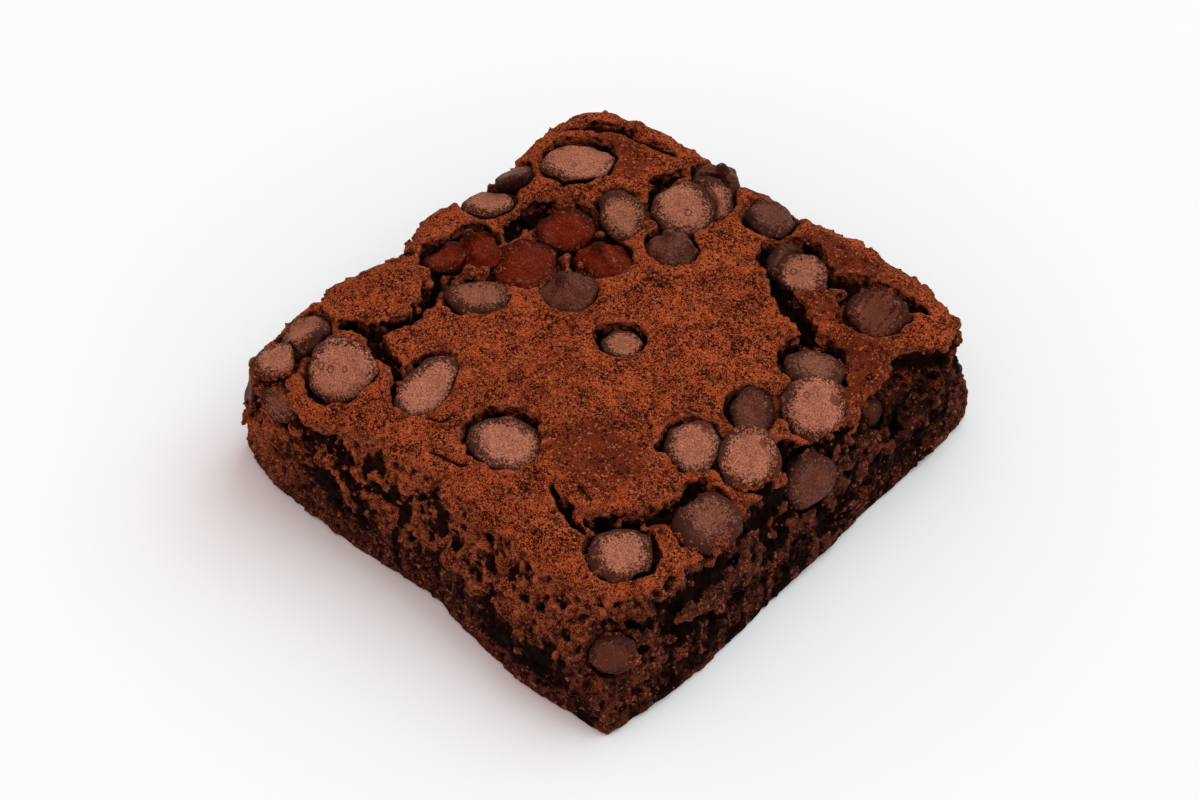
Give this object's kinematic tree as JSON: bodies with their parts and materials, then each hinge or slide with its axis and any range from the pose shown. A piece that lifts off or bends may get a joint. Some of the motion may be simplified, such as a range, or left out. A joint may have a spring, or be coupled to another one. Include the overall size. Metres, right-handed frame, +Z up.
{
  "type": "chocolate brownie",
  "caption": "Square chocolate brownie with a cracked matte crust, crumbly sides and chocolate drops baked into its top and sides.",
  "frame": {"origin": "centre of the bounding box on the flat underside", "axes": "+Z up from the underside through the crust; the pictured view looks from the +X, -Y corner"},
  "size_m": [0.0794, 0.0836, 0.0255],
  "materials": {
    "cake_crumb": "dry, grainy baked crust over a dark moist crumb",
    "bloomed_chocolate": "dull bloomed chocolate with a grainy rim",
    "melted_chocolate": "smooth melted chocolate with a soft gloss",
    "dark_chocolate": "satin dark chocolate",
    "crumbed_chocolate": "chocolate dusted with baked crumbs"
  },
  "bodies": {
    "root": {"brownie_cake": "cake_crumb", "drop_back_cone": "dark_chocolate", "drop_back_flat": "bloomed_chocolate", "drop_back_second": "bloomed_chocolate", "drop_back_tip": "dark_chocolate", "drop_back_wide": "bloomed_chocolate", "drop_basin_cone": "melted_chocolate", "drop_basin_edge": "melted_chocolate", "drop_basin_left": "melted_chocolate", "drop_basin_melted": "melted_chocolate", "drop_basin_oval": "bloomed_chocolate", "drop_basin_peak": "dark_chocolate", "drop_basin_tucked": "melted_chocolate", "drop_centre": "bloomed_chocolate", "drop_cluster_back": "dark_chocolate", "drop_cluster_left": "bloomed_chocolate", "drop_cluster_right": "bloomed_chocolate", "drop_corner_high": "bloomed_chocolate", "drop_corner_low": "bloomed_chocolate", "drop_front_flat": "bloomed_chocolate", "drop_front_large": "bloomed_chocolate", "drop_front_right": "crumbed_chocolate", "drop_left_large": "bloomed_chocolate", "drop_left_long": "bloomed_chocolate", "drop_left_ridge": "bloomed_chocolate", "drop_left_sliver": "dark_chocolate", "drop_north_edge": "dark_chocolate", "drop_right_big": "bloomed_chocolate", "drop_right_dark": "crumbed_chocolate", "drop_side_corner": "dark_chocolate", "drop_side_crumbed": "crumbed_chocolate", "drop_side_front": "dark_chocolate", "drop_side_north": "dark_chocolate", "drop_side_right": "dark_chocolate", "drop_side_small": "dark_chocolate", "drop_side_west": "dark_chocolate", "drop_strip_back": "dark_chocolate", "drop_strip_front": "bloomed_chocolate", "drop_strip_ridged": "bloomed_chocolate", "drop_tilted_oval": "bloomed_chocolate"}
  },
  "joints": []
}
